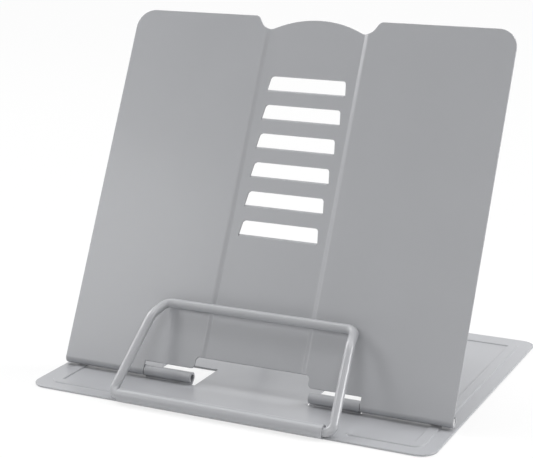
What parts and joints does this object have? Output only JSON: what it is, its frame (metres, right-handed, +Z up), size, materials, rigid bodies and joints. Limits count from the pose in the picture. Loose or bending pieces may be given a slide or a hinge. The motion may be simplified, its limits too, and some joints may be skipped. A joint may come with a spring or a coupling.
{
  "type": "book stand",
  "caption": "Folding metal book stand: a base plate, a hinged back panel with hook windows, a wire prop behind it and a wire page holder in front.",
  "frame": {"origin": "middle of the stand's footprint, on the table", "axes": "+X to the reader's right, +Y away from the reader, +Z up"},
  "size_m": [0.21, 0.1766, 0.1759],
  "materials": {
    "base_coat": "satin",
    "panel_coat": "satin",
    "wire_coat": "satin",
    "pin_steel": "satin"
  },
  "bodies": {
    "base": {"base_plate": "base_coat"},
    "panel": {"back_panel": "panel_coat", "hinge_pin_left": "pin_steel", "hinge_pin_right": "pin_steel"},
    "prop": {"support_wire": "wire_coat"},
    "page_holder": {"page_wire": "wire_coat"}
  },
  "joints": [
    {"name": "panel_hinge", "type": "hinge", "parent": "base", "child": "panel", "pos_m": [0, -0.05083, 0.00445], "axis": [1, 0, 0], "range_deg": [0, 1.5]},
    {"name": "prop_pivot", "type": "hinge", "parent": "base", "child": "prop", "pos_m": [0, 0.07185, 0.00333], "axis": [1, 0, 0], "range_deg": [0, 33.37]},
    {"name": "page_holder_pivot", "type": "hinge", "parent": "base", "child": "page_holder", "pos_m": [0, -0.085, 0.00333], "axis": [1, 0, 0], "range_deg": [0, 135]}
  ]
}
